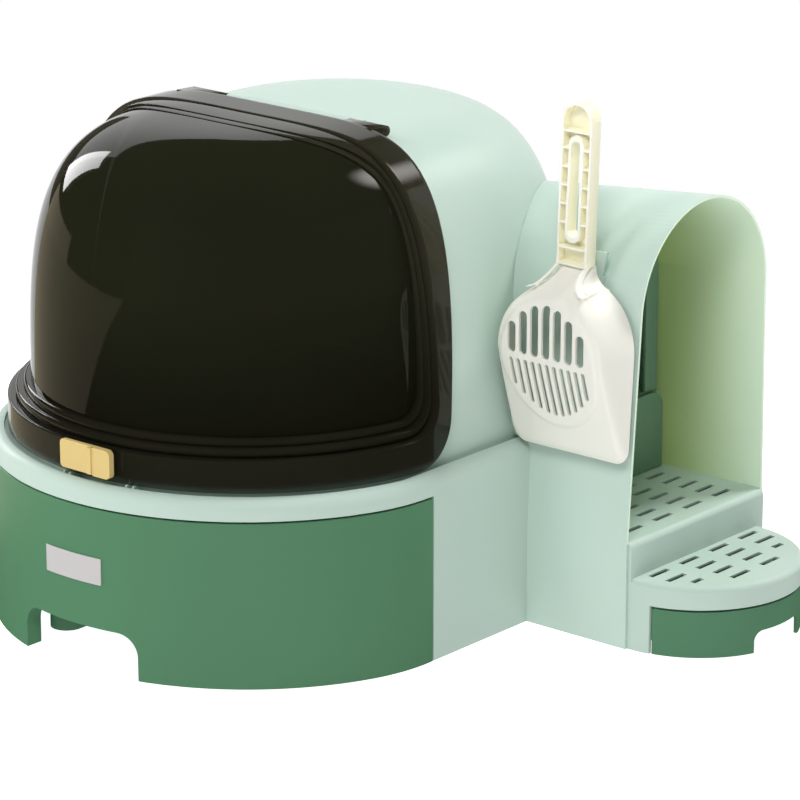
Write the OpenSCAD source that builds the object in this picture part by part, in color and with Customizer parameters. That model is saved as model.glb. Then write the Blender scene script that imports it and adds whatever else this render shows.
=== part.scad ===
// Drawer litter box with a hinged visor hood, a side tunnel with two steps, and a hung scoop.
// Millimetres. Origin on the floor, at the centre of the main body. Front is -Y, tunnel leaves to +X.

/* [Body] */
// Radius of the bowed front of the base
base_r = 203; // [203:0.5:205]
// Half width of the base between its flat sides
base_hw = 198; // [197:0.5:198]
// Distance from the centre to the flat back of the base
base_back = 254; // [254:1:262]
// Height of the shoulder of the base
base_top = 148; // [147.5:0.5:148]
// Wall thickness of the moulded shells
wall = 3; // [2.5:0.1:3]

/* [Hood] */
// Half width of the hood
hood_w = 182.6; // [181.5:0.1:183]
// Height of the crown of the hood
hood_top = 378.8; // [377:0.1:379]
// Half width of the visor frame
visor_w = 190; // [189.5:0.1:190.5]
// Height of the crown of the visor frame
visor_top = 391; // [390.5:0.1:391.5]
// Half width of the visor window
window_w = 171; // [170:0.5:172]
// Height of the hinge axis above the floor
hinge_z = 383.2; // [383:0.1:383.6]

/* [Main drawer] */
// Depth of the litter tray
tray_h = 100; // [80:1:104]
// Half width of the litter tray
tray_hw = 187; // [182:0.5:188]
// Half width of the hand opening in the drawer front
pull_hw = 57.5; // [50:0.5:60]
// Height of the hand opening in the drawer front
pull_h = 36.5; // [30:0.5:37]

/* [Tunnel] */
// Height of the straight part of the tunnel cover
tunnel_knee = 85; // [80:1:90]
// Thickness of the tunnel cover sheet
sheet = 2; // [1.8:0.1:2]
// Height of the upper step
step_hi = 85.6; // [84:0.2:88]
// Height of the lower step
step_lo = 57.5; // [56:0.5:60]
// Radius of the rounded lower step
step_r = 82.4; // [82:0.1:82.8]

/* [Scoop] */
// Half width of the scoop blade
scoop_hw = 54; // [53:0.5:54]
// Height of the top of the scoop handle when it hangs on its hook
scoop_top = 419; // [410:1:425]

/* [Hidden] */
$fn = 96;

mint = [0.76, 0.86, 0.81];
green = [0.36, 0.58, 0.42];
smoke = [0.10, 0.11, 0.08, 0.8];
cream = [0.95, 0.94, 0.86];
yellow = [0.94, 0.86, 0.62];

// Centres of the front and back arcs lie at y = -cy and y = +cy
cy = 51;
// Superellipse of the hood: centre height, exponent
hood_zc = -25.4;
hood_m = 4.857;
// Points along one side of the hood and of the visor outline
n_prof = 15;
// Inner top of the base, underside of its deck
deck_z = base_top - 7;
// Seat of the hood in the deck
seat_z = base_top - 4;
// Rear edge line of the visor frame: y = edge_y + edge_k * (z - 185)
edge_y = -38.5;
edge_k = 0.075;
hinge_y = -8;
// Corner arcs between the bowed front of the base and its flat sides: their centre lies on the
// radius of slope 5:12, so that both arcs and the side are tangent
front_cx = 12 * (base_r - base_hw);
front_dy = 5 * (base_r - base_hw);
front_rc = base_hw - front_cx;
// Where the drawer front ends on the flat sides
drawer_end = -72;
// Tunnel: middle plane, near outer face, lean of its walls, tilt of its crown
tun_y = 128.1;
tun_hw = 87.3;
tun_lean = 0.045;
tun_arc_z = 257;
tun_tilt = 5.8;
tun_x = 293.6;
// Corridor floor between its side faces
cor_y0 = 43.1;
cor_y1 = 213;
riser_x = 296.6;
step_cx = riser_x;
step_cy = cor_y0 + step_r;
// Thickness of the steps' slotted tops
step_deck = 1.6;
// Scoop: middle, centre height of its round top, half width of its handle, neck fillet
scoop_x = 243.2;
scoop_z = 232;
grip_hw = 14.25;
neck_r = 16;

// ---- outline helpers ----

// Half outline of a superellipse body, from height z0 up to its crown on the axis
function se_side(w, b, zc, m, z0) =
  let (a0 = asin(pow((z0 - zc) / b, m / 2)))
  [for (i = [0:n_prof])
    let (a = a0 + (90 - a0) * i / n_prof)
    [w * pow(max(cos(a), 0), 2 / m), zc + b * pow(sin(a), 2 / m)]];

module half_section(pts) {
  polygon(concat([[0, pts[0][1]]], pts));
}

// Body with a round front end, straight sides to y1 and an optional round back end
module capsule_body(pts, y1, back) {
  translate([0, -cy, 0]) rotate([0, 0, 180]) rotate_extrude(angle = 180) half_section(pts);
  for (s = [0, 1])
    mirror([s, 0, 0]) translate([0, y1, 0]) rotate([90, 0, 0])
      linear_extrude(y1 + cy) half_section(pts);
  if (back)
    translate([0, y1, 0]) rotate_extrude(angle = 180) half_section(pts);
}

// Hood body grown by g
module hood_body(g, z0 = seat_z) {
  capsule_body(se_side(hood_w + g, hood_top - hood_zc + g, hood_zc, hood_m, z0), cy, true);
}

// Visor body: t = 0 is the frame's face, t = 1 the window's face, g grows it
module visor_body(t, g, z0) {
  zc = -25 + 175 * t;
  top = visor_top - 2 * t;
  capsule_body(se_side(visor_w + (window_w - visor_w) * t + g, top - zc + g, zc,
    4.9 - 0.9 * t, z0), 5, false);
}

// Prism across X in front of the line y = y0 + k * (z - 185), above zb, with a round
// lower corner rb and, if rt is set, a round upper corner under zt
module zone(y0, k, zb, rb, zt = 460, rt = 0) {
  q = sqrt(1 + k * k);
  zc = zb + rb;
  yc = y0 + k * (zc - 185) - rb * q;
  zu = zt - rt;
  yu = y0 + k * (zu - 185) - rt * q;
  rotate([90, 0, 90]) linear_extrude(420, center = true) {
    polygon([[-400, zb], [yc, zb], [yc, zc], [yc + rb / q, zc - rb * k / q],
      [yu + rt / q, zu - rt * k / q], [yu, zu], [yu, zt], [-400, zt]]);
    translate([yc, zc]) circle(rb);
    if (rt > 0) translate([yu, zu]) circle(rt);
  }
}

// Wall profile from the middle out to r, with a rounded top edge
module wall_section(r, z0, z1, e) {
  translate([0, z0]) square([r, z1 - e - z0]);
  translate([0, z0]) square([r - e, z1 - z0]);
  translate([r - e, z1 - e]) circle(e);
}

// Base form: bowed front, flat sides and a squared back with round corners
module base_body(g, z0, z1, e) {
  hw = base_hw - g;
  rc = 50 - g;
  yb = base_back - g - rc;
  intersection() {
    translate([0, -cy, 0]) rotate([0, 0, 180]) rotate_extrude(angle = 180)
      wall_section(base_r - g, z0, z1, e);
    translate([0, -cy, -20]) linear_extrude(200)
      polygon([[0, 0], [-480, -200], [-480, -400], [480, -400], [480, -200]]);
  }
  translate([0, yb, 0]) rotate([90, 0, 0]) linear_extrude(yb + cy + front_dy) {
    wall_section(hw, z0, z1, e);
    mirror([1, 0]) wall_section(hw, z0, z1, e);
  }
  for (s = [0, 1])
    mirror([s, 0, 0]) {
      intersection() {
        translate([front_cx, -cy - front_dy, 0]) rotate([0, 0, -90])
          rotate_extrude(angle = 90) wall_section(front_rc - g, z0, z1, e);
        translate([0, -cy, -20]) linear_extrude(200) polygon([[0, 0], [480, -200], [480, 0]]);
      }
      translate([hw - rc, yb, 0]) rotate_extrude(angle = 90) wall_section(rc, z0, z1, e);
      translate([0, yb, 0]) rotate([90, 0, 90]) linear_extrude(hw - rc)
        wall_section(rc, z0, z1, e);
    }
}

// Upright capsule of radius r and half width hw
module capsule_plan(r, hw) {
  intersection() {
    union() {
      translate([0, -cy]) circle(r);
      translate([0, cy]) circle(r);
      translate([-r, -cy]) square([2 * r, 2 * cy]);
    }
    translate([-hw, -400]) square([2 * hw, 800]);
  }
}

module round_rect(x0, y0, x1, y1, r) {
  translate([x0 + r, y0]) square([x1 - x0 - 2 * r, y1 - y0]);
  translate([x0, y0 + r]) square([x1 - x0, y1 - y0 - 2 * r]);
  for (x = [x0 + r, x1 - r]) for (y = [y0 + r, y1 - r]) translate([x, y]) circle(r);
}

// Hand opening outline in the X-Z plane, grown by g
module pull_outline(hw, h, r, g) {
  translate([-hw - g, -10]) square([2 * (hw + g), h - r + 10]);
  translate([-hw + r, -10]) square([2 * (hw - r), h + g + 10]);
  for (x = [-hw + r, hw - r]) translate([x, h - r]) circle(r + g);
}

// Plan of the litter tray, inset by g
module tray_plan(g) {
  intersection() {
    union() {
      translate([0, -cy]) circle(190 - g);
      translate([-250, -cy]) square([500, 300]);
    }
    round_rect(-tray_hw + g, -190 + g, tray_hw - g, 225 - g, 30 - g);
  }
}

// Section of the tunnel across Y, inset by g
module tunnel_section(g) {
  q = sqrt(1 + tun_lean * tun_lean);
  r = (tun_hw - tun_lean * (tun_arc_z - tunnel_knee)) / q - g;
  zt = tun_arc_z + r * tun_lean / q;
  k = r / q;
  hw = tun_hw - g * q;
  polygon([[-hw, -80], [hw, -80], [hw, tunnel_knee], [k, zt], [-k, zt], [-hw, tunnel_knee]]);
  translate([0, tun_arc_z]) circle(r);
}

// Solid of the tunnel, inset by g, from x0 to its mouth, tilted with its crown
module tunnel_body(g, x0) {
  translate([tun_x, tun_y, 0]) rotate([0, -tun_tilt, 0]) translate([x0 - tun_x - 40, 0, 0])
    rotate([90, 0, 90]) linear_extrude(tun_x - x0 + 90) tunnel_section(g);
}

// Side view limits of the tunnel: floor, mouth plane and back plane
module tunnel_side(x0, z0) {
  translate([0, 330, 0]) rotate([90, 0, 0]) linear_extrude(400)
    polygon([[x0, z0], [tun_x, z0], [tun_x, tunnel_knee], [tun_x + 6.2, tunnel_knee + 265],
      [x0, tunnel_knee + 265]]);
}

// Entrance opening across X
module entrance_prism(x0, x1, z0) {
  translate([x0, 123, 0]) rotate([90, 0, 90]) linear_extrude(x1 - x0) {
    translate([-67, z0]) square([134, 223 - z0]);
    translate([0, 223]) circle(67);
  }
}

// Steps' drain slots, l long across Y
module drain_slot(x, y, l, z) {
  translate([x, y, z]) cube([4.8, l, 12], center = true);
}

// A radius-height outline turned about the front arc's axis, angles from -Y towards +X
module front_ring(a0, a1, outline) {
  translate([0, -cy, 0]) rotate([0, 0, a0 - 90]) rotate_extrude(angle = a1 - a0)
    polygon(outline);
}

// ---- base ----

module base_shell() {
  color(mint)
  difference() {
    base_body(0, 1, base_top, 10);
    base_body(wall, 0, deck_z, 4);
    translate([0, 0, deck_z - 5]) linear_extrude(30) capsule_plan(178, 178);
    translate([0, 0, seat_z]) linear_extrude(30) capsule_plan(192.5, 187.5);
    translate([-199.5, -290, -5]) cube([399, 290 + drawer_end + 1, 137]);
  }
}

module drawer_runners() {
  color(mint)
  for (s = [0, 1])
    mirror([s, 0, 0]) {
      translate([168, -69, 6]) cube([base_hw - wall - 168, 264, 4]);
      translate([190, -69, 10]) cube([base_hw - wall - 190, 264, 14]);
    }
}

// Bars that tie the runners together under the tray
module cross_ties() {
  color(mint)
  for (y = [-12, 138]) translate([-168, y, 6]) cube([336, 24, 3.6]);
}

module rubber_feet() {
  color([0.30, 0.34, 0.31]) {
    for (x = [-181, 181]) for (y = [-58, 60, 180])
      translate([x, y, 0]) cylinder(h = 6, r = 9);
    cylinder(h = 6, r = 9);
    for (x = [216, 282]) for (y = [55, 202])
      translate([x, y, 0]) cylinder(h = 3, r = 6);
  }
}

// ---- hood ----

module dome_hood() {
  color(mint)
  difference() {
    hood_body(0);
    hood_body(-wall, seat_z - 6);
    zone(edge_y - 6.5, edge_k, 168, 30);
    entrance_prism(90, 230, base_top);
    for (x = [-54, 54]) translate([x, 6, 360]) cylinder(h = 40, r = 2);
  }
}

// Clips that hold the hood down on the deck, two on each side
module hood_clips() {
  color(mint)
  for (s = [0, 1])
    mirror([s, 0, 0])
      for (y = [-30, 34]) {
        translate([174.6, y - 12, 126]) cube([3, 24, 34]);
        translate([177.6, y - 12, deck_z - 4]) cube([4, 24, 4]);
        translate([177.6, y - 8, 149]) cube([0.8, 16, 8]);
      }
}

// Fixed half of the hinge: a barrel on a raised pad that follows the hood's crown
module hinge_mount() {
  color(mint)
  difference() {
    union() {
      translate([-61.5, hinge_y, hinge_z]) rotate([0, 90, 0]) cylinder(h = 123, r = 4.2);
      rotate([90, 0, 90]) linear_extrude(119, center = true)
        polygon([[hinge_y, 374], [16, 374], [16, 379.2], [13, 381.6], [0, 383],
          [hinge_y, 384.5]]);
    }
    hood_body(0);
    for (s = [0, 1]) mirror([s, 0, 0])
      translate([44, hinge_y, hinge_z]) rotate([0, 90, 0]) cylinder(h = 20, r = 2);
    for (x = [-54, 54]) translate([x, 6, 360]) cylinder(h = 21, r = 1.6);
  }
}

module hinge_pins() {
  color([0.78, 0.79, 0.80])
  for (s = [0, 1]) mirror([s, 0, 0])
    translate([44, hinge_y, hinge_z]) rotate([0, 90, 0]) cylinder(h = 50, r = 2);
}

// Screws up through the hood's crown into the hinge pad
module hinge_screws() {
  color([0.62, 0.63, 0.64])
  for (x = [-54, 54]) {
    translate([x, 6, 373]) cylinder(h = 7.5, r = 1.6);
    translate([x, 6, 372.3]) cylinder(h = 3, r = 4);
  }
}

// Ribs that the visor's lip rests on and closes round
module latch_keeper() {
  color(mint)
    for (a = [-5.6, -3.8, 12.4, 14.2])
      front_ring(a - 0.3, a + 0.3, [[184.2, seat_z], [191.5, seat_z], [191.5, 149],
        [186.6, 149], [186.6, 154.2], [184.2, 154.2]]);
}

// Tab on the ribs' side that the bolt slides under
module latch_strike() {
  color(mint)
  front_ring(8.4, 12.1, [[184.5, 152.6], [186.3, 152.6], [186.3, 153.9], [184.5, 153.9]]);
}

// ---- visor ----

module visor_frame() {
  color(smoke)
  difference() {
    union() {
      // face band
      intersection() {
        difference() {
          visor_body(0, 0, 149);
          visor_body(0, -2.5, 145);
        }
        difference() {
          zone(edge_y, edge_k, 149, 38);
          zone(-54, 0, 174, 26);
        }
      }
      // step in to the first bead
      intersection() {
        difference() {
          visor_body(0, 0, 149);
          visor_body(0.45, -2.5, 150);
        }
        difference() {
          zone(-51.6, 0, 171.6, 28.4);
          zone(-54, 0, 174, 26);
        }
      }
      // first bead
      intersection() {
        difference() {
          visor_body(0.35, 0, 150);
          visor_body(0.35, -2.5, 150);
        }
        difference() {
          zone(-54, 0, 174, 26);
          zone(-56, 0, 181, 22, 392.5, 34);
        }
      }
      // step in to the window
      intersection() {
        difference() {
          visor_body(0.35, 0, 150);
          visor_body(1, 0, 160);
        }
        difference() {
          zone(-53.6, 0, 178.6, 24.4);
          zone(-56, 0, 181, 22, 392.5, 34);
        }
      }
      // second bead, on the window's edge
      intersection() {
        difference() {
          visor_body(0.7, 0, 155);
          visor_body(1, 0, 160);
        }
        difference() {
          zone(-56, 0, 181, 22, 392.5, 34);
          zone(-58.5, 0, 187, 20, 392.5, 44);
        }
      }
      // ears that carry the pins
      for (s = [0, 1])
        mirror([s, 0, 0]) {
          translate([62, hinge_y, hinge_z]) rotate([0, 90, 0]) cylinder(h = 37, r = 4.2);
          translate([62, 0, 0]) rotate([90, 0, 90]) linear_extrude(37)
            polygon([[hinge_y, 387.4], [-27, 388.6], [-27, 384.2], [hinge_y, 379]]);
        }
      // flat bed behind the latch
      translate([-17, -242, 154.5]) cube([49, 4.1, 20.5]);
    }
    // bores for the pins, slot for the latch's stem, room for the window at the crown
    for (s = [0, 1]) mirror([s, 0, 0])
      translate([58, hinge_y, hinge_z]) rotate([0, 90, 0]) cylinder(h = 38, r = 2.05);
    translate([8.8, -250, 159.8]) cube([17.4, 20, 8.4]);
    intersection() {
      visor_body(1, 0, 160);
      zone(-54, 0, 178.6, 24);
    }
  }
}

module visor_window() {
  color(smoke)
  intersection() {
    difference() {
      visor_body(1, 0, 160);
      visor_body(1, -2.5, 155);
    }
    zone(-54, 0, 178.6, 24);
  }
}

// Finger plate with a raised end, a stem through the band and a bolt behind it
module latch_slide() {
  color(yellow) {
    translate([0, -242.2, 0]) rotate([90, 0, 0]) linear_extrude(3.2)
      round_rect(-18.5, 153.6, 20, 175.7, 3.4);
    translate([0, -242.2, 0]) rotate([90, 0, 0]) linear_extrude(5)
      round_rect(13.5, 153.6, 33.5, 175.7, 4.4);
    translate([11.5, -248.4, 154.6]) cube([4, 6.2, 20.1]);
    translate([10, -243, 160.2]) cube([5, 9.5, 7.6]);
    translate([10, -236, 150.6]) cube([5, 2.5, 17.2]);
    translate([10, -234.6, 150.6]) cube([14, 1.1, 1.4]);
  }
}

// ---- main drawer ----

module drawer_front() {
  color(green)
  difference() {
    union() {
      intersection() {
        difference() {
          base_body(0, 1, 130.3, 1.2);
          base_body(wall, -1, 160, 1.2);
        }
        translate([-250, -300, 0]) cube([500, 300 + drawer_end, 160]);
      }
      // ledge that carries the tray's front deck
      intersection() {
        translate([0, -cy, 0]) rotate([0, 0, 180]) rotate_extrude(angle = 180)
          translate([194.5, 103.5]) square([6, 4]);
        translate([-185, -300, 90]) cube([370, 180, 40]);
      }
      // turned-in lip round the hand opening
      intersection() {
        translate([0, -cy, 0]) rotate([0, 0, 180]) rotate_extrude(angle = 180)
          translate([base_r - 14, 1]) square([13, 60]);
        translate([0, -150, 0]) rotate([90, 0, 0]) linear_extrude(120)
          pull_outline(pull_hw, pull_h, 17, 2);
      }
    }
    translate([0, -150, 0]) rotate([90, 0, 0]) linear_extrude(120)
      pull_outline(pull_hw, pull_h, 17, 0);
    for (x = [-120, 120]) translate([x, -207.3, 95]) cylinder(h = 20, r = 2);
  }
}

module litter_tray() {
  color(green)
  difference() {
    union() {
      translate([0, 0, 10]) linear_extrude(tray_h) tray_plan(0);
      // rim
      translate([0, 0, 10 + tray_h - 2.5]) linear_extrude(2.5)
        round_rect(-191, -120, 191, 229, 34);
      // deck from the tub's flat front to the drawer front
      translate([0, 0, 10 + tray_h - 2.5]) intersection() {
        translate([0, -cy, 0]) cylinder(h = 2.5, r = base_r - wall - 0.3);
        translate([-186, -260, -1]) cube([372, 150, 5]);
      }
      // two noses that stiffen the flat front
      for (x = [-50, 50]) translate([x, 0, 10]) linear_extrude(60) {
        translate([0, -210]) circle(13);
        translate([-13, -210]) square([26, 22]);
      }
    }
    translate([0, 0, 12.5]) linear_extrude(tray_h) tray_plan(2.5);
    for (x = [-120, 120]) translate([x, -207.3, 95]) cylinder(h = 20, r = 2);
  }
}

// Screws that clamp the tray's deck on the drawer front's ledge
module drawer_screws() {
  color([0.62, 0.63, 0.64])
  for (x = [-120, 120]) {
    translate([x, -207.3, 98]) cylinder(h = 13, r = 2);
    translate([x, -207.3, 10 + tray_h]) cylinder(h = 1.8, r = 2.6);
  }
}

module label_plate() {
  color([0.85, 0.85, 0.86])
  intersection() {
    translate([0, -cy, 71.5]) rotate([0, 0, 180]) rotate_extrude(angle = 180)
      translate([base_r, 0]) square([1, 20.9]);
    translate([-28, -300, 60]) cube([56, 120, 50]);
  }
}

// ---- tunnel and corridor ----

module tunnel_cover() {
  color(mint)
  difference() {
    intersection() {
      difference() {
        tunnel_body(0, 60);
        tunnel_body(sheet, 55);
      }
      tunnel_side(40, 1);
    }
    hood_body(0.3, 120);
    base_body(0, -5, base_top, 10);
  }
}

// Section of the entrance collar across Y, inset by g
module collar_section(g) {
  translate([-77 + g, 0]) square([154 - 2 * g, 238]);
  translate([0, 238]) circle(77 - g);
}

module collar_prism(g, x0, x1, z0) {
  intersection() {
    translate([x0, tun_y, 0]) rotate([90, 0, 90]) linear_extrude(x1 - x0) collar_section(g);
    translate([x0 - 1, 0, z0]) cube([x1 - x0 + 2, 300, 300]);
  }
}

// Arched collar between the hood's side opening and the tunnel
module entrance_collar() {
  color(mint)
  difference() {
    collar_prism(0, 60, 197, base_top);
    collar_prism(2.5, 50, 194, base_top + 2.5);
    entrance_prism(190, 230, base_top + 2.5);
    hood_body(0.3, 120);
  }
}

// Plate that closes the base's side below the entrance, with round upper corners
module entrance_sill() {
  color(mint)
  translate([198.4, 0, 0]) rotate([90, 0, 90]) linear_extrude(2.8)
    difference() {
      round_rect(47.8, 60, 208.4, 149.4, 14);
      translate([0, 0]) square([300, step_hi + 0.3]);
    }
}

module corridor_base() {
  color(mint)
  difference() {
    union() {
      difference() {
        translate([0, cor_y1, 0]) rotate([90, 0, 0]) linear_extrude(cor_y1 - cor_y0) {
          translate([198.5, 1]) square([riser_x - 198.5, step_hi - 6]);
          translate([198.5, 1]) square([riser_x - 198.5 - 5, step_hi - 1]);
          translate([riser_x - 5, step_hi - 5]) circle(5);
        }
        translate([190, cor_y0 + wall, -5]) cube([riser_x - wall - 190,
          cor_y1 - cor_y0 - 2 * wall, step_hi + 5 - step_deck]);
      }
      translate([step_cx, step_cy, 0]) rotate([0, 0, -90]) rotate_extrude(angle = 180)
        wall_section(step_r, 39.5, step_lo, 4.5);
      intersection() {
        translate([step_cx, step_cy, 0]) rotate([0, 0, -90]) rotate_extrude(angle = 180)
          translate([step_r - wall, 1]) square([wall, 40]);
        translate([290, 0, 0]) cube([23, 300, 60]);
      }
    }
    translate([step_cx, step_cy, 0]) rotate([0, 0, -90]) rotate_extrude(angle = 180)
      translate([0, 30]) square([step_r - wall, step_lo - step_deck - 30]);
    translate([280, cor_y0 + wall, -5])
      cube([step_cx - 280 + 0.5, 2 * (step_r - wall), step_lo - step_deck + 5]);
    for (i = [0:4]) for (j = [0:3]) drain_slot(276.2 - 16 * i, 71 + 38 * j, 22, step_hi);
    for (k = [0:3]) for (j = [0:3])
      if (k < 3 || (j > 0 && j < 3))
        drain_slot(304.1 + 16 * k, step_cy + 38 * (j - 1.5) - (k == 2 ? (j == 0 ? -5
          : (j == 3 ? 5 : 0)) : 0), k == 2 && (j == 0 || j == 3) ? 12 : 22, step_lo);
  }
}

module corridor_runners() {
  color(mint) {
    translate([205, cor_y0 + wall, 3]) cube([88, 21, 3]);
    translate([205, 182, 3]) cube([88, cor_y1 - wall - 182, 3]);
  }
}

module corridor_drawer_front() {
  color(green)
  difference() {
    translate([step_cx, step_cy, 0]) intersection() {
      rotate([0, 0, -90]) rotate_extrude(angle = 180)
        translate([step_r - 4, 1]) square([wall, 36.4]);
      translate([18, -100, 0]) cube([120, 200, 60]);
    }
    translate([330, step_cy, 0]) rotate([90, 0, 90]) linear_extrude(80)
      pull_outline(28, 18, 8, 0);
  }
}

module corridor_tray() {
  color(green)
  difference() {
    union() {
      translate([0, 0, 6]) linear_extrude(28) corridor_tray_plan(0);
      translate([0, 0, 32]) linear_extrude(2) intersection() {
        translate([step_cx, step_cy]) circle(step_r - 4);
        translate([316, step_cy - 66]) square([80, 132]);
      }
    }
    translate([0, 0, 8]) linear_extrude(30) corridor_tray_plan(2);
  }
}

module corridor_tray_plan(g) {
  intersection() {
    union() {
      translate([step_cx, step_cy]) circle(76 - g);
      translate([215, step_cy - 67]) square([step_cx - 215, 134]);
    }
    translate([215 + g, step_cy - 67 + g]) square([142 - 2 * g, 134 - 2 * g]);
  }
}

// ---- scoop ----

// Hook on the tunnel's near wall: a pad, an upright tab and a shelf for the scoop's brow
module scoop_hook() {
  color(mint)
  difference() {
    union() {
      translate([238, 46.6, 252]) cube([22, 12, 26]);
      translate([0, 52.2, 0]) rotate([90, 0, 0]) linear_extrude(2.4)
        polygon([[238, 262], [257, 262], [258.5, 284], [264.7, 306], [236, 304]]);
      translate([236, 36, 290]) cube([14, 16, 2.8]);
      translate([238, 49.8, 262]) cube([22, 14, 24]);
    }
    tunnel_body(0, 95);
  }
}

// Fillets between the handle and the blade's round top, inset by g
module scoop_neck(g) {
  fx = grip_hw + neck_r;
  fz = sqrt(pow(scoop_hw + neck_r, 2) - fx * fx);
  k = scoop_hw / (scoop_hw + neck_r);
  translate([scoop_x, scoop_z]) difference() {
    polygon([[-k * fx, k * fz], [k * fx, k * fz], [fx, fz], [-fx, fz]]);
    for (s = [-1, 1]) translate([s * fx, fz]) circle(neck_r + g);
  }
}

module scoop_outline(g) {
  x0 = scoop_x - scoop_hw + g;
  x1 = scoop_x + scoop_hw - g;
  translate([x0 + 8, 149 + g]) square([x1 - x0 - 16, 40]);
  translate([x0, 157 + g]) square([x1 - x0, scoop_z - 157 - g]);
  for (x = [x0 + 8, x1 - 8]) translate([x, 157 + g]) circle(8);
  translate([scoop_x, scoop_z]) circle(scoop_hw - g);
  scoop_neck(g);
}

module scoop_side(g, dy) {
  polygon([[36 + 5 * g, 149 + g], [32.5 + 0.75 * g + dy, 149 + g], [7 + g + dy, 230 + 0.3 * g],
    [7 + g + dy, 268 - 0.4 * g], [19 + 0.8 * g + dy, 284 - 0.8 * g], [32 + 0.2 * g, 295 - g],
    [46 + 5 * g, 295 - g]]);
}

module scoop_block(g, dy) {
  intersection() {
    translate([0, 70, 0]) rotate([90, 0, 0]) linear_extrude(80) scoop_outline(g);
    translate([150, 0, 0]) rotate([90, 0, 90]) linear_extrude(200) scoop_side(g, dy);
  }
}

// Upright slot of width w from z0 to z1, cut along Y
module blade_slot(x, w, z0, z1) {
  translate([x, 36, 0]) rotate([90, 0, 0]) linear_extrude(36) {
    translate([-w / 2, z0 + w / 2]) square([w, z1 - z0 - w]);
    for (z = [z0 + w / 2, z1 - w / 2]) translate([0, z]) circle(w / 2);
  }
}

module scoop_head() {
  color(cream)
  difference() {
    union() {
      scoop_block(0, 0);
      intersection() {
        scoop_block(0, -2.5);
        translate([scoop_x - 1.5, 60, 223]) rotate([90, 0, 0]) cylinder(h = 70, r = 49);
      }
    }
    scoop_block(2.2, 0);
    for (i = [-3:3])
      blade_slot(scoop_x - 1.5 + 10.7 * i, 7.6, 228.6, 269.5 - pow(abs(i), 2) * 1.9);
    for (i = [-5:5])
      blade_slot(scoop_x - 1.5 + 6.8 * i, 3.6, 181.5 + pow(abs(i), 2) * 0.8, 224.3);
  }
}

module handle_outline(g) {
  w = grip_hw - g;
  translate([scoop_x - w, 295 + g]) square([2 * w, scoop_top - grip_hw - 295 - g]);
  translate([scoop_x, scoop_top - grip_hw]) circle(w);
}

module scoop_handle() {
  color(cream)
  difference() {
    translate([0, 49.5, 0]) rotate([90, 0, 0]) linear_extrude(11) handle_outline(0);
    // shallow pocket in the front, crossed by ribs and by the rim of the slot
    difference() {
      translate([0, 46.5, 0]) rotate([90, 0, 0]) linear_extrude(12) handle_outline(2);
      translate([0, 60, 0]) rotate([90, 0, 0]) linear_extrude(30) {
        translate([scoop_x - 7, 320]) square([14, 67]);
        for (z = [320, 387]) translate([scoop_x, z]) circle(7);
      }
      for (i = [0:4]) translate([225, 30, 327 + 14 * i]) cube([40, 20, 1.4]);
      translate([225, 30, 396]) cube([40, 20, 1.6]);
      translate([225, 30, 308]) cube([40, 20, 1.6]);
    }
    translate([0, 60, 0]) rotate([90, 0, 0]) linear_extrude(30) {
      translate([scoop_x - 4.75, 322]) square([9.5, 63]);
      for (z = [322, 385]) translate([scoop_x, z]) circle(4.75);
    }
  }
}

base_shell();
drawer_runners();
cross_ties();
rubber_feet();
dome_hood();
hood_clips();
hinge_mount();
hinge_pins();
hinge_screws();
latch_keeper();
latch_strike();
visor_frame();
visor_window();
latch_slide();
drawer_front();
litter_tray();
label_plate();
drawer_screws();
tunnel_cover();
entrance_collar();
entrance_sill();
corridor_base();
corridor_runners();
corridor_drawer_front();
corridor_tray();
scoop_hook();
scoop_head();
scoop_handle();
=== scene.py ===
"""Looks of the drawer litter box: moulded plastic shells, a smoked visor, a hung scoop.

Metres, +Z up. The drawer pulls out to -Y and the tunnel leaves the body to +X.
"""

import math

import bmesh
import bpy
import numpy as np
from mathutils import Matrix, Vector


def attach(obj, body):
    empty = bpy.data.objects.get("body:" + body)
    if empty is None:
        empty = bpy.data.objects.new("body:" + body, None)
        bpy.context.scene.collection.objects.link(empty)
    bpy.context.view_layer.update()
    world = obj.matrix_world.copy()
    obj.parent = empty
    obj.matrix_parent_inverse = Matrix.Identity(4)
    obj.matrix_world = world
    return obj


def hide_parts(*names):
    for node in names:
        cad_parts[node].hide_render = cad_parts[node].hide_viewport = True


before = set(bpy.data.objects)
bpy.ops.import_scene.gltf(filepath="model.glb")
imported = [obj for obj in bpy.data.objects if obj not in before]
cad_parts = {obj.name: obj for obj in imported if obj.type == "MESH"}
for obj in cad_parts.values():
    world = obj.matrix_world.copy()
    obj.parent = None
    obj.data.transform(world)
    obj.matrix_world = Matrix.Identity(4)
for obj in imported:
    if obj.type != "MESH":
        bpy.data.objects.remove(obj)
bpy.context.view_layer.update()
MM = 0.001
# Front rims of the scoop's grip, how far the grip leans out at its foot, and where the lean ends
GRIP_FRONT, GRIP_LEAN = 0.0385, 0.005
LEAN_TOP, LEAN_FOOT = 0.405, 0.295
# Height of the visor band's foot, and the tunnel sheet's reach along X, over which the painted
# shade on its inner faces lightens towards the mouth
BAND_FOOT = 0.150
TUNNEL_SPAN = (0.195, 0.315)
BLACK = (0, 0, 0, 1)
# Depth of the fine grain on moulded plastic, and the angle in degrees over which an edge is hard
GRAIN = 0.00003
HARD_EDGE = 38


# ---------------------------------------------------------------- finishes


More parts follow.
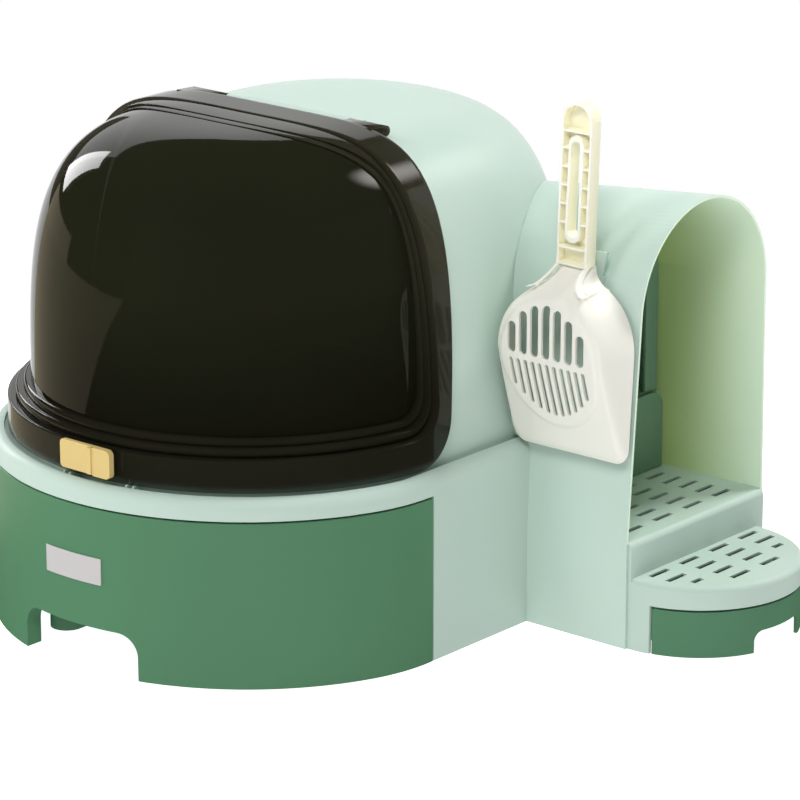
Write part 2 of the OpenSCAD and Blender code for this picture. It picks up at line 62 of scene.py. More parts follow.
class Wire:
    """A socket's output that can be added, scaled and mixed like a number."""

    def __init__(self, graph, socket):
        self.graph, self.socket = graph, socket

    def _maths(self, operation, other):
        return self.graph.node("ShaderNodeMath", {0: self, 1: other}, operation=operation)

    def __add__(self, other):
        return self._maths("ADD", other)

    def __sub__(self, other):
        return self._maths("SUBTRACT", other)

    def __mul__(self, other):
        return self._maths("MULTIPLY", other)

    __radd__, __rmul__ = __add__, __mul__

    def step(self, low, high):
        """0 at low and 1 at high, with a soft change between them."""
        return self.graph.node(
            "ShaderNodeMapRange", {0: self, 1: low, 2: high}, interpolation_type="SMOOTHSTEP"
        )


class Graph:
    """A node tree whose nodes are each made by one call."""

    def __init__(self, tree):
        self.tree = tree

    def node(self, kind, sockets=None, out=0, **settings):
        """Makes a node: its settings first, then the values or links of its sockets."""
        made = self.tree.nodes.new(kind)
        for key, value in settings.items():
            setattr(made, key, value)
        for key, value in (sockets or {}).items():
            self.feed(made.inputs[key], value)
        return Wire(self, made.outputs[out])

    def feed(self, socket, value):
        """Links a wire, or each wire of a list, and sets any other value."""
        for one in value if isinstance(value, list) else [value]:
            if isinstance(one, Wire):
                self.tree.links.new(one.socket, socket)
            elif one is not None:
                socket.default_value = one

    def outputs(self, wire):
        """All outputs of the node that a wire comes from."""
        return [Wire(self, socket) for socket in wire.socket.node.outputs]

    def open_rays(self):
        """Marks of the rays from the eye, and of those with the rays off gloss or through glass."""
        marks = self.node("ShaderNodeLightPath").socket.node.outputs
        camera = Wire(self, marks["Is Camera Ray"])
        sent_on = Wire(self, marks["Is Glossy Ray"]) + Wire(self, marks["Is Transmission Ray"])
        return camera, camera + sent_on


class Finish(Graph):
    """A material whose constants sit on the shader and whose changes come from nodes."""

    def __init__(self, name, **constants):
        self.material = bpy.data.materials.new(name)
        self.material.use_nodes = True
        super().__init__(self.material.node_tree)
        self.shader = self.tree.nodes["Principled BSDF"]
        for socket, value in constants.items():
            self.shader.inputs[socket.replace("_", " ")].default_value = value
        self.place = self.node("ShaderNodeTexCoord", out="Object")

    def split(self, vector):
        """The three parts of a vector."""
        return self.outputs(self.node("ShaderNodeSeparateXYZ", {0: vector}))

    def noise(self, scale, detail=3.0, stretch=(1, 1, 1), roughness=0.5):
        where = self.node("ShaderNodeMapping", {"Vector": self.place, "Scale": stretch})
        return self.node(
            "ShaderNodeTexNoise",
            {"Vector": where, "Scale": scale, "Detail": detail, "Roughness": roughness},
        )

    def between(self, share, first, second):
        """A colour from first at 0 to second at 1."""
        return self.node(
            "ShaderNodeMix", {0: share, 6: first, 7: second}, out=2, data_type="RGBA"
        )

    def bump(self, height, depth, over=None):
        """Relief of a depth in metres, laid over another relief."""
        return self.node(
            "ShaderNodeBump", {"Height": height, "Distance": depth, "Strength": 1.0, "Normal": over}
        )

    def surface(self, **wires):
        """Feeds the shader and gives the material back."""
        for socket, value in wires.items():
            self.feed(self.shader.inputs[socket.replace("_", " ")], value)
        return self.material


def shade(colour, factor):
    return tuple(min(1.0, c * factor) for c in colour[:3]) + (1.0,)


def moulded_plastic(name, colour, rough, drift=0.03):
    """Injection-moulded plastic: fine grain, faint flow lines and a soft satin sheen."""
    f = Finish(name, Specular_IOR_Level=0.5, IOR=1.48)
    clouds = f.noise(7.0, 4.0)
    flow = f.noise(5.0, 5.0, stretch=(1.0, 1.0, 3.5))
    fine = f.noise(1500.0, 2.0)
    handling = f.noise(38.0, 5.0, roughness=0.65)
    tone = f.between(clouds * 0.7 + flow * 0.3, shade(colour, 1 - drift), shade(colour, 1 + drift))
    sink = f.bump(clouds * 0.6 + flow * 0.4, 0.0012)
    return f.surface(
        Base_Color=tone,
        Roughness=(handling - 0.5) * 0.14 + (fine - 0.5) * 0.10 + rough,
        Normal=f.bump(fine, GRAIN, over=sink),
    )


def sheet_with_painted_light(name, outside, inside, deep, rough):
    """A thin sheet whose inner faces carry painted light: a faint painted glow for the light it
    lets in, and painted shade that darkens and turns greener towards the body.
    """
    # The emission on the inner faces is a painted glow, not a lamp.
    f = Finish(name, Specular_IOR_Level=0.5, IOR=1.48, Emission_Strength=0.16)
    clouds = f.noise(7.0, 4.0)
    fine = f.noise(1500.0, 2.0)
    inner = f.node("ShaderNodeAttribute", {}, out=2, attribute_name="inner")
    x, _, _ = f.split(f.place)
    # Painted shade on the inner faces: the lit colour near the mouth darkens to olive green deep in
    # the tunnel.
    within = f.between(x.step(*TUNNEL_SPAN), deep, inside)
    tone = f.between(inner, f.between(clouds, shade(outside, 0.98), shade(outside, 1.02)), within)
    return f.surface(
        Base_Color=tone,
        Emission_Color=f.between(inner, BLACK, within),
        Roughness=(fine - 0.5) * 0.1 + rough,
        Normal=f.bump(fine, GRAIN, over=f.bump(clouds, 0.0010)),
    )


def smoked_plastic(name, colour, rough, alpha, clear_foot=0.0):
    """Clear brown-black plastic with haze, hairlines and dust, clearer at the band's foot, and
    lighter towards the top with painted light.
    """
    f = Finish(name, Specular_IOR_Level=0.24, IOR=1.49)
    haze = f.noise(11.0, 4.0)
    hairline = f.noise(160.0, 3.0, stretch=(1.0, 1.0, 0.06)).step(0.66, 0.78)
    dust = f.noise(620.0, 2.0).step(0.72, 0.82)
    _, _, height = f.split(f.place)
    # The colour lightens with height: painted light from above. The haze part is random tone.
    tone = f.between(
        haze * 0.3 + height.step(0.19, 0.31) * 0.7, shade(colour, 0.6), shade(colour, 1.5)
    )
    foot = height.step(BAND_FOOT + 0.0065, BAND_FOOT) * clear_foot
    return f.surface(
        Base_Color=tone,
        Roughness=haze * 0.03 + hairline * 0.05 + dust * 0.08 + rough,
        Alpha=haze * 0.04 + (alpha - 0.02) - foot,
        Normal=f.bump(haze, 0.00015, over=f.bump(hairline, 0.000003)),
    )


def grip_plastic(name, rim, pocket, rough):
    """Cream plastic whose front rims are whiter than its sides and pockets; the pockets' colour is
    partly the grip's own yellow cream and partly painted light, set bright against the shade in
    them.
    """
    f = Finish(name, Specular_IOR_Level=0.5, IOR=1.48)
    clouds = f.noise(30.0, 4.0)
    fine = f.noise(1500.0, 2.0)
    _, y, z = f.split(f.place)
    front = z.step(LEAN_TOP, LEAN_FOOT) * GRIP_LEAN + y
    # Whiter front rims against brighter yellow pockets and sides. The pockets' brightness is
    # painted light.
    tone = f.between(
        (front + clouds * 0.0004).step(GRIP_FRONT + 0.0002, GRIP_FRONT + 0.0010), rim, pocket
    )
    return f.surface(
        Base_Color=tone,
        Roughness=(fine - 0.5) * 0.1 + (clouds - 0.5) * 0.12 + rough,
        Normal=f.bump(fine, GRAIN, over=f.bump(clouds, 0.0004)),
    )


def brushed_steel(name):
    f = Finish(name, Metallic=1.0)
    lines = f.noise(900.0, 3.0, stretch=(0.04, 1, 1))
    tone = f.between(lines, (0.50, 0.50, 0.52, 1), (0.68, 0.68, 0.70, 1))
    return f.surface(
        Base_Color=tone, Roughness=lines * 0.18 + 0.24, Normal=f.bump(lines, 0.000008)
    )


def soft_rubber(name):
    f = Finish(name, Specular_IOR_Level=0.3)
    specks = f.noise(420.0, 4.0)
    worn = f.noise(60.0, 4.0).step(0.45, 0.7)
    tone = f.between(worn, (0.055, 0.062, 0.058, 1), (0.095, 0.104, 0.098, 1))
    return f.surface(
        Base_Color=tone, Roughness=specks * 0.2 + 0.68, Normal=f.bump(specks, 0.00005)
    )


def film_label(name):
    """A blank self-adhesive label: pale film with a warm side and a fine paper tooth."""
    f = Finish(name, Specular_IOR_Level=0.5, Coat_Weight=0.15)
    paper = f.noise(900.0, 3.0)
    warm = f.noise(9.0, 1.0)
    tone = f.between(warm, (0.47, 0.47, 0.52, 1), (0.60, 0.57, 0.52, 1))
    return f.surface(
        Base_Color=tone, Roughness=paper * 0.15 + 0.3, Normal=f.bump(paper, 0.00001)
    )


MINT = moulded_plastic("mint_satin", (0.515, 0.645, 0.572), 0.42)
# A darker copy of the mint: painted shade for the doorway's collar and sill, which sit in the
# tunnel's shadow.
PAINTED_SHADE_MINT = moulded_plastic("deep_mint_satin", (0.170, 0.300, 0.205), 0.45)
# Outer colour, then the painted light on the inner faces near the mouth, and the painted shade deep
# inside.
MINT_SHEET = sheet_with_painted_light(
    "mint_sheet_satin", (0.545, 0.690, 0.610), (0.70, 0.84, 0.68, 1), (0.32, 0.43, 0.17, 1), 0.40
)
GREEN = moulded_plastic("leaf_green_satin", (0.082, 0.230, 0.117), 0.40, drift=0.05)
STEP_GREEN = moulded_plastic("tray_green_satin", (0.082, 0.230, 0.120), 0.42, drift=0.05)
CREAM = moulded_plastic("scoop_white_satin", (0.860, 0.848, 0.770), 0.36, drift=0.015)
# Rim colour, then the pockets' colour, which is brightened with painted light.
HANDLE = grip_plastic(
    "handle_cream_satin", (0.93, 0.92, 0.84, 1), (0.95, 0.92, 0.70, 1), 0.38
)
YELLOW = moulded_plastic("latch_butter_gloss", (0.690, 0.520, 0.205), 0.30, drift=0.02)
SMOKE = smoked_plastic("visor_smoke", (0.0105, 0.0110, 0.0056), 0.030, 0.90)
SMOKE_BAND = smoked_plastic("visor_band_smoke", (0.0200, 0.0190, 0.0115), 0.045, 0.90, 0.5)
STEEL = brushed_steel("pin_steel")
RUBBER = soft_rubber("foot_rubber")
LABEL = film_label("blank_label")


# ---------------------------------------------------------------- mesh helpers


def piece(name, points, faces):
    mesh = bpy.data.meshes.new(name)
    mesh.from_pydata([tuple(p) for p in points], [], faces)
    made = bpy.data.objects.new(name, mesh)
    bpy.context.scene.collection.objects.link(made)
    return made


def weld(obj, distance=2e-6, flat=None):
    """Joins points that touch, drops faces without area and turns every face outward.

    Flat is the angle in degrees under which neighbouring faces become one.
    """
    bm = bmesh.new()
    bm.from_mesh(obj.data)
    bmesh.ops.remove_doubles(bm, verts=bm.verts, dist=distance)
    bmesh.ops.dissolve_degenerate(bm, edges=bm.edges, dist=1e-7)
    if flat:
        bmesh.ops.dissolve_limit(
            bm, angle_limit=math.radians(flat), verts=bm.verts, edges=bm.edges
        )
    bmesh.ops.recalc_face_normals(bm, faces=bm.faces)
    bm.to_mesh(obj.data)
    bm.free()
    return obj


def smooth(obj, angle):
    """Smooth shading, sharp where faces meet at more than an angle in degrees."""
    obj.data.polygons.foreach_set("use_smooth", [True] * len(obj.data.polygons))
    obj.data.set_sharp_from_angle(angle=math.radians(angle))
    return obj


def bake(obj):
    """Turns what the modifiers make into a plain mesh and drops them."""
    graph = bpy.context.evaluated_depsgraph_get()
    mesh = bpy.data.meshes.new_from_object(
        obj.evaluated_get(graph), preserve_all_data_layers=True, depsgraph=graph
    )
    obj.modifiers.clear()
    obj.data = mesh
    return obj


def round_edges(obj, width, segments, angle=HARD_EDGE):
    cut = obj.modifiers.new("edges", "BEVEL")
    cut.width, cut.segments = width, segments
    cut.limit_method, cut.angle_limit = "ANGLE", math.radians(angle)
    cut.harden_normals = True
    cut.use_clamp_overlap = True
    return bake(obj)


def cut_away(obj, *cutters):
    for cutter in cutters:
        cut = obj.modifiers.new("cut", "BOOLEAN")
        cut.operation, cut.solver, cut.object = "DIFFERENCE", "EXACT", cutter
    bake(obj)
    for cutter in cutters:
        bpy.data.objects.remove(cutter)
    return obj


def join(name, parts):
    """One object from several, each closed by itself."""
    bm = bmesh.new()
    for part in parts:
        bm.from_mesh(part.data)
        bpy.data.objects.remove(part)
    mesh = bpy.data.meshes.new(name)
    bm.to_mesh(mesh)
    bm.free()
    made = bpy.data.objects.new(name, mesh)
    bpy.context.scene.collection.objects.link(made)
    return made


def settle(obj, body, material, node):
    """Coats a piece, sets it in its node's place and lets it ride on its body."""
    obj.data.materials.clear()
    obj.data.materials.append(material)
    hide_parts(node)
    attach(obj, body)
    return obj


def moulding(node, name, edge, segments):
    """The part's own form, welded, with its hard corners rounded as a mould leaves them."""
    made = bpy.data.objects.new(name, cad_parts[node].data.copy())
    bpy.context.scene.collection.objects.link(made)
    weld(made, flat=0.4)
    smooth(made, HARD_EDGE - 3)
    return round_edges(made, edge, segments)


def ring_faces(a, b, n):
    """Quads between the closed rows a and b of n points each."""
    return [(a * n + j, a * n + (j + 1) % n, b * n + (j + 1) % n, b * n + j) for j in range(n)]


def skin(rows):
    """Points and quads of a net of closed rows with equal counts."""
    n = len(rows[0])
    faces = [face for i in range(len(rows) - 1) for face in ring_faces(i, i + 1, n)]
    return np.concatenate(rows), faces


def end_caps(rows):
    """The two faces that close a net at its first and last row."""
    n, m = len(rows[0]), len(rows)
    return [tuple(range(n)), tuple(range((m - 1) * n, m * n))]


def prism(outline, low, high):
    """A closed prism along X over an outline of (y, z) points in millimetres."""
    n = len(outline)
    ends = [(at, y, z) for at in (low, high) for y, z in outline]
    faces = [tuple(range(n)), tuple(range(n, 2 * n))]
    faces += [(i, (i + 1) % n, n + (i + 1) % n, n + i) for i in range(n)]
    return weld(piece("prism", np.array(ends) * MM, faces))


def arc(cx, cz, r, a0, a1, n):
    """n points on an arc from angle a0 to a1, in degrees."""
    return [
        (cx + r * math.cos(math.radians(a)), cz + r * math.sin(math.radians(a)))
        for a in np.linspace(a0, a1, n)
    ]


def even(points, n):
    """n points at equal distances along a line of dense points."""
    points = np.asarray(points, float)
    d = np.concatenate([[0], np.cumsum(np.linalg.norm(np.diff(points, axis=0), axis=1))])
    at = np.linspace(0, d[-1], n)
    return np.stack([np.interp(at, d, points[:, k]) for k in range(3)], axis=1)


# ---------------------------------------------------------------- capsule forms

# Ends of the straight flanks, the height that zone lines are set out from, and where crowns begin
FRONT_Y, REAR_Y = -51.0, 51.0
LEVEL_Z, CROWN_Z = 185.0, 325.0
VISOR_WALL, HOOD_WALL = 2.5, 3.0


def half_width(z, w, b, zc, m):
    """Half width of a rounded body at height z."""
    q = np.clip((np.asarray(z, float) - zc) / b, 0, 1)
    return w * np.clip(1 - q**m, 0, 1) ** (1 / m)


def visor_form(t, g=0.0):
    """Half width, crown height, foot and fullness: t 0 is the band's face, 1 the window's."""
    zc = -25 + 175 * t
    return (190 - 19 * t + g, 391 - 2 * t - zc + g, zc, 4.9 - 0.9 * t)


# A zone is the rear line of a part of the visor or hood, seen from the side:
# its y at LEVEL_Z, its lean, then height and radius of its foot and of its head.


def round_centre(zone, z, radius):
    """Y of the centre of a rounded end whose centre lies at height z."""
    y0, k = zone[:2]
    return y0 + k * (z - LEVEL_Z) - radius * math.sqrt(1 + k * k)


def zone_path(zone, z):
    """Y of a zone's rear line at height z."""
    y0, k, zb, rb, zt, rt = zone
    zc, zu = zb + rb, zt - rt
    if z < zc:
        return round_centre(zone, zc, rb) + math.sqrt(max(rb * rb - (zc - z) ** 2, 0))
    if z > zu:
        return round_centre(zone, zu, rt) + math.sqrt(max(rt * rt - (z - zu) ** 2, 0))
    return y0 + k * (z - LEVEL_Z)


# Points along the foot, the corner, the side and the crown of one half of a loop
COUNTS = (70, 22, 44, 76)


def visor_loop(zone, t, g=0.0):
    """Closed loop where the zone's edge meets the visor, from the front's foot and back to it."""
    form = visor_form(t, g)
    zb, rb = zone[2:4]

    def wide(z):
        return float(half_width(z, *form))

    def across(y, z):
        return math.sqrt(max(wide(z) ** 2 - min(y - FRONT_Y, 0) ** 2, 0))

    def on_path(z):
        y = zone_path(zone, z)
        return (across(y, z), y, z)

    zc = zb + rb
    yc = round_centre(zone, zc, rb)
    turn = math.acos(min(1, max(0, (FRONT_Y - yc) / wide(zb)))) if yc < FRONT_Y else math.pi / 2
    foot = [
        (wide(zb) * math.sin(a), FRONT_Y - wide(zb) * math.cos(a), zb)
        for a in np.linspace(0, turn, 400)
    ]
    if yc > FRONT_Y:
        foot += [(wide(zb), y, zb) for y in np.linspace(FRONT_Y, yc, 50)[1:]]
    corner = []
    for a in np.linspace(-math.pi / 2, 0, 200):
        y, z = yc + rb * math.cos(a), zc + rb * math.sin(a)
        corner.append((across(y, z), y, z))
    side = [on_path(z) for z in np.linspace(zc, CROWN_Z, 200)]
    low, high = CROWN_Z, form[2] + form[1] - 1e-7
    for _ in range(60):
        mid = (low + high) / 2
        low, high = (mid, high) if on_path(mid)[0] > 0 else (low, mid)
    crown = [on_path(low - (low - CROWN_Z) * u**4) for u in np.linspace(1, 0, 1500)]
    crown[-1] = (0.0,) + crown[-1][1:]
    half = [even(part, n + 1)[:-1] for part, n in zip((foot, corner, side, crown), COUNTS)]
    right = np.concatenate(half + [np.array([crown[-1]])])
    left = right[1:-1][::-1] * np.array([-1, 1, 1])
    return np.concatenate([right, left]) * MM


def lerp_zone(a, b, s):
    """The zone at share s of the way from a to b."""
    return tuple(x + (y - x) * s for x, y in zip(a, b))


def grown(zone, e):
    """The zone moved out by e."""
    y0, k, zb, rb, zt, rt = zone
    return (y0 + e, k, zb - e, rb + e, zt, max(rt, 1.0))


# Zones of the visor: rear and front edge of its band, the two beads, and the window's edge
BAND_REAR = (-38.5, 0.075, 149.0, 38.0, 392.5, 1.0)
BAND_FRONT = (-54.0, 0.0, 174.0, 26.0, 392.5, 1.0)
BEAD_MID = (-56.0, 0.0, 181.0, 22.0, 392.5, 34.0)
BEAD_FRONT = (-58.5, 0.0, 187.0, 20.0, 392.5, 44.0)
PANE_EDGE = (-54.4, 0.0, 179.0, 23.6, 392.5, 30.0)


def bead_rows(low, high, count, base, rise, swell):
    """Loops of a rounded bead that runs from one zone to the next."""
    rows = []
    for a in np.linspace(0, 180, count):
        r = math.radians(a)
        zone = lerp_zone(low, high, 0.5 - 0.5 * math.cos(r))
        rows.append(visor_loop(zone, base + rise * (a / 180) - swell * math.sin(r)))
    return rows


def visor_frame():
    half = VISOR_WALL / 2
    rows = []
    for a in np.linspace(180, 0, 9):  # rounded rear edge, from the inner to the outer face
        r = math.radians(a)
        edge = grown(BAND_REAR, half * math.sin(r) - half)
        rows.append(visor_loop(edge, 0, -half + half * math.cos(r)))
    rear, front = grown(BAND_REAR, -half), grown(BAND_FRONT, 1.0)
    rows += [visor_loop(lerp_zone(rear, front, s), 0) for s in np.linspace(0, 1, 12)[1:]]
    for a in (30, 60, 90):  # rounded corner, then the step down to the first bead
        r = math.radians(a)
        rows.append(visor_loop(grown(BAND_FRONT, 1 - math.sin(r)), 0, math.cos(r) - 1))
    rows += [visor_loop(BAND_FRONT, 0.46 * s, s - 1) for s in (0.3, 0.7, 1.0)]
    first = grown(BAND_FRONT, -0.6)
    rows.append(visor_loop(first, 0.47))
    rows += bead_rows(first, BEAD_MID, 13, 0.46, 0.0, 0.12)
    rows.append(visor_loop(BEAD_MID, 0.6))
    rows += bead_rows(BEAD_MID, BEAD_FRONT, 11, 0.74, 0.12, 0.1)
    rows.append(visor_loop(BEAD_FRONT, 1.0, 0.05))
    inside = grown(BAND_FRONT, 2.4)
    rows += [
        visor_loop(grown(BEAD_MID, 2.4), 1.0, 0.05),
        visor_loop(grown(BEAD_MID, 2.4), 0.45, -VISOR_WALL),
        visor_loop(grown(BAND_FRONT, 2.0), 0.45, -VISOR_WALL),
        visor_loop(inside, 0.0, -VISOR_WALL),
    ]
    rows += [visor_loop(lerp_zone(inside, rear, s), 0, -VISOR_WALL) for s in (0.25, 0.5, 0.75)]
    points, faces = skin(rows)
    faces += ring_faces(len(rows) - 1, 0, len(rows[0]))
    return smooth(weld(piece("visor_band", points, faces)), 42)


# Rings of the window's net, and height of the point that they close in on
PANE_RINGS, PANE_MID_Z = 46, 285.0


def pane_rows(g):
    """Net of the window's skin from its edge to its middle, and the middle point."""
    form = visor_form(1.0, g)
    lines = []
    for x, y, z in visor_loop(PANE_EDGE, 1.0, g) / MM:
        s = np.sin(np.linspace(math.pi / 2, 0, 900))
        xs, zs = x * s, PANE_MID_Z + (z - PANE_MID_Z) * s
        ys = FRONT_Y - np.sqrt(np.clip(half_width(zs, *form) ** 2 - xs**2, 0, None))
        ys[0] = y
        lines.append(even(np.stack([xs, ys, zs], axis=1), PANE_RINGS))
    net = np.array(lines)
    return [net[:, i] * MM for i in range(PANE_RINGS - 1)], net[0, -1] * MM


def visor_window():
    outer, nose = pane_rows(0.0)
    inner, inner_nose = pane_rows(-VISOR_WALL)
    rows = inner[::-1] + outer
    points, faces = skin(rows)
    n, m = len(rows[0]), len(rows)
    points = np.concatenate([points, [inner_nose, nose]])
    faces += [(m * n, (j + 1) % n, j) for j in range(n)]
    faces += [((m - 1) * n + j, (m - 1) * n + (j + 1) % n, m * n + 1) for j in range(n)]
    return smooth(weld(piece("visor_pane", points, faces)), 50)


# Axis of the hinge pins, and radius and reach along X of the ears that turn on them
PIN_Y, PIN_Z = -8.0, 383.2
EAR_R, EAR_SPANS = 4.2, ((-99, -62), (62, 99))


def visor_ears():
    outline = [(-27.0, 388.4), (-27.0, 384.2)] + arc(PIN_Y, PIN_Z, EAR_R, -105, 95, 26)
    return [round_edges(smooth(prism(outline, *span), 30), 0.0007, 3, 40) for span in EAR_SPANS]


# Low and high corner of the slot that the latch's stem slides in, and of the bed around it
STEM_SLOT = (8.8, -250, 159.8, 26.2, -230, 168.2)
LATCH_BED = (-17, -242, 154.5, 32, -237.9, 175)


def slab(x0, y0, z0, x1, y1, z1):
    return prism([(y0, z0), (y1, z0), (y1, z1), (y0, z1)], x0, x1)


bed = cut_away(round_edges(slab(*LATCH_BED), 0.0005, 3), slab(*STEM_SLOT))
band = join("visor_band", [cut_away(visor_frame(), slab(*STEM_SLOT)), bed] + visor_ears())
settle(smooth(band, 42), "visor", SMOKE_BAND, "visor_frame")
settle(visor_window(), "visor", SMOKE, "visor_window")


# ---------------------------------------------------------------- hood

# Half width, height over its centre, height of the centre and fullness, then its foot
HOOD = (182.6, 404.2, -25.4, 4.857)
HOOD_FOOT = 144.0
# Front opening, a zone that ends above the hood, and the arched doorway in the right side
OPENING = (-45, 0.075, 168, 30, 460, 0)
DOOR_Y, DOOR_HALF, DOOR_SPRING = 123, 67, 223


def hood_rows(g):
    """Levels of the hood's capsule from its foot up to the crown."""
    w, b, zc, m = HOOD[0] + g, HOOD[1] + g, HOOD[2], HOOD[3]
    start = math.asin(((HOOD_FOOT - zc) / b) ** (m / 2))
    dense = [
        (w * max(math.cos(a), 0) ** (2 / m), 0, zc + b * math.sin(a) ** (2 / m))
        for a in np.linspace(start, math.pi / 2, 3000)
    ]
    front, rear = np.linspace(-math.pi / 2, math.pi / 2, 49), np.linspace(0, math.pi, 49)
    flank = np.linspace(FRONT_Y, REAR_Y, 16)[1:-1]
    rows = []
    for r, _, z in even(dense, 72):
        ring = [(r * math.sin(a), FRONT_Y - r * math.cos(a), z) for a in front]
        ring += [(r, y, z) for y in flank]
        ring += [(r * math.cos(a), REAR_Y + r * math.sin(a), z) for a in rear]
        ring += [(-r, y, z) for y in flank[::-1]]
        rows.append(np.array(ring) * MM)
    return rows


def opening_prism():
    y0, k, zb, rb, top, _ = OPENING
    zc = zb + rb
    lean = math.degrees(math.atan(k))
    outline = [(-400, zb)] + arc(round_centre(OPENING, zc, rb), zc, rb, -90, -lean, 20)
    return prism(outline + [(y0 + k * (top - LEVEL_Z), top), (-400, top)], -230, 230)


def doorway_prism():
    arch = arc(DOOR_Y, DOOR_SPRING, DOOR_HALF, 0, 180, 48)
    return prism([(DOOR_Y + DOOR_HALF, 140)] + arch + [(DOOR_Y - DOOR_HALF, 140)], 90, 230)


def dome_hood():
    points, faces = skin(hood_rows(-HOOD_WALL)[::-1] + hood_rows(0))
    shell = weld(piece("hood_shell", points, faces), 3e-6)
    cut_away(shell, opening_prism(), doorway_prism())
    return smooth(weld(shell, 2e-6), 32)


settle(dome_hood(), "housing", MINT, "dome_hood")

# ---------------------------------------------------------------- mouldings

PLAIN = [
    # node, piece, body, finish, slot, edge, segments
    ("base_shell", "base_body", "housing", MINT, "mint_plastic", 0.0008, 3),
    ("drawer_runners", "runner_rails", "housing", MINT, "mint_plastic", 0.0006, 2),
    ("cross_ties", "runner_ties", "housing", MINT, "mint_plastic", 0.0006, 2),
    ("hood_clips", "snap_clips", "housing", MINT, "mint_plastic", 0.0004, 2),
    ("hinge_mount", "hinge_pad", "housing", MINT, "mint_plastic", 0.0018, 4),
    ("latch_keeper", "latch_post", "housing", MINT, "mint_plastic", 0.0003, 2),
    ("latch_strike", "latch_tab", "housing", MINT, "mint_plastic", 0.0003, 2),
    ("tunnel_cover", "tunnel_sheet", "housing", MINT_SHEET, "mint_sheet", 0.0005, 2),
    # Collar and sill wear the darker mint copy, painted shade for the shadow inside the tunnel.
    ("entrance_collar", "door_collar", "housing", PAINTED_SHADE_MINT, "mint_plastic", 0.0006, 2),
    ("entrance_sill", "door_sill", "housing", PAINTED_SHADE_MINT, "mint_plastic", 0.0010, 3),
    ("corridor_base", "step_block", "housing", MINT, "mint_plastic", 0.0006, 3),
    ("corridor_runners", "step_rails", "housing", MINT, "mint_plastic", 0.0005, 2),
    ("scoop_hook", "scoop_peg", "housing", MINT, "mint_plastic", 0.0006, 2),
    ("rubber_feet", "soft_feet", "housing", RUBBER, "foot_rubber", 0.0008, 3),
    ("hinge_pins", "visor_pins", "housing", STEEL, "pin_steel", 0.0004, 2),
    ("hinge_screws", "pad_screws", "housing", STEEL, "pin_steel", 0.0003, 2),
    ("latch_slide", "latch_bolt", "latch", YELLOW, "yellow_plastic", 0.0009, 4),
    ("drawer_front", "drawer_panel", "main_drawer", GREEN, "green_plastic", 0.0012, 4),
    ("litter_tray", "litter_tub", "main_drawer", GREEN, "green_plastic", 0.0009, 3),
    ("label_plate", "blank_plate", "main_drawer", LABEL, "label_plastic", 0.0003, 2),
    ("drawer_screws", "tub_screws", "main_drawer", STEEL, "pin_steel", 0.0003, 2),
    ("corridor_drawer_front", "step_panel", "step_drawer", STEP_GREEN, "green_plastic", 0.0010, 4),
    ("corridor_tray", "step_tub", "step_drawer", STEP_GREEN, "green_plastic", 0.0007, 3),
]
for node, name, body, material, slot, edge, segments in PLAIN:
    settle(moulding(node, name, edge, segments), body, material, node)


def mark_inner(obj, y, z):
    """Marks the faces that look at the line (y, z) along the tunnel."""
    mark = obj.data.attributes.new("inner", "FLOAT", "CORNER")
    for face in obj.data.polygons:
        to_line = Vector((0, y - face.center.y, z - face.center.z))
        for corner in face.loop_indices:
            mark.data[corner].value = 1.0 if face.normal.dot(to_line) > 0.001 else 0.0


# The marked inner faces carry the tunnel sheet's painted shade and painted glow.
mark_inner(bpy.data.objects["tunnel_sheet"], 0.128, 0.2)


# ---------------------------------------------------------------- scoop

# Blade: its middle line, and height and radius of its round head
SCOOP_X, SCOOP_Z, SCOOP_R = 243.2, 232.0, 54.0
# Heights of its foot, of its top and of the point that its net is drawn around, and the radius
# of the corners of its foot
BLADE_FOOT, BLADE_TOP, BLADE_MID, FOOT_R = 149.0, 295.0, 215.0, 12.0
# Rise of its face towards the foot and towards the neck, and the heights where each rise starts
LIP_RISE, LIP_FROM, NECK_RISE, NECK_FROM = 25.5, 230.0, 31.5, 264.0
# Half width of the grip, radius of the flares under it and height of the neck's top
GRIP, NECK_R, NECK_TOP = 14.25, 16.0, 295.4
# Width of the blade's rounded wall, y of its face, and thickness of the sheet
WALL_W, FACE_Y, SHEET = 7.0, 7.0, 2.2
# Raised oval that carries the slots: its centre from the middle line, half axes and height
PANEL_X, PANEL_Z, PANEL_W, PANEL_H, PANEL_RISE = -1.0, 224.0, 46.3, 53.5, 1.7
NECK_X = GRIP + NECK_R
NECK_Z = SCOOP_Z + math.sqrt((SCOOP_R + NECK_R) ** 2 - NECK_X**2)


def neck_half(z):
    """Half width of the flared neck at height z."""
    return NECK_X - math.sqrt(NECK_R**2 - min(z - NECK_Z, 0) ** 2)


def inside_blade(x, z, g):
    """True within the blade's outline, inset by g: a round top, a square foot and a neck."""
    x = abs(x)
    if math.hypot(x, z - SCOOP_Z) < SCOOP_R - g:
        return True
    if x < SCOOP_R - g and BLADE_FOOT + g < z < SCOOP_Z:
        dx, dz = x - (SCOOP_R - g - FOOT_R), (BLADE_FOOT + g + FOOT_R) - z
        return dx < 0 or dz < 0 or math.hypot(dx, dz) < FOOT_R
    return NECK_Z - NECK_R < z < NECK_TOP and x < neck_half(z) - g


def panel_reach(x, z, grow=0.0):
    """1 on the edge of the raised oval, less within it and more outside."""
    return np.hypot((x - PANEL_X) / (PANEL_W + grow), (z - PANEL_Z) / (PANEL_H + grow))


def inside_panel(x, z, grow):
    return panel_reach(x, z, grow) < 1


